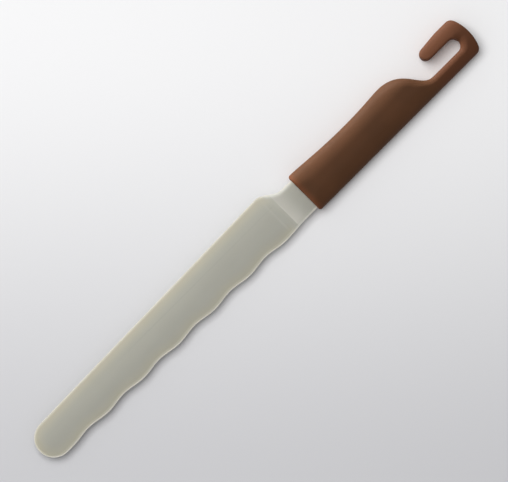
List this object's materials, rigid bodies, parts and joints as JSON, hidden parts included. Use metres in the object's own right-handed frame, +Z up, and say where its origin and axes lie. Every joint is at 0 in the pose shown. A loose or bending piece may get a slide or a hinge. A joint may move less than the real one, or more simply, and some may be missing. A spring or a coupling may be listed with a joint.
{
  "type": "cake release knife",
  "caption": "Flat plastic knife for freeing a cake from its tin: a round-tipped blade with a straight back and a wavy edge, and an oval handle that ends in an open hook.",
  "frame": {"origin": "on the surface that the handle lies on, under the middle of the knife's box", "axes": "+X along the knife from the blade's tip to the hook, +Y towards the blade's straight back, +Z up out of the broad face"},
  "size_m": [0.28, 0.0252, 0.012],
  "materials": {
    "blade_nylon": "satin, slightly translucent",
    "handle_plastic": "satin, finely grained"
  },
  "bodies": {
    "root": {"blade": "blade_nylon", "handle": "handle_plastic"}
  },
  "joints": []
}
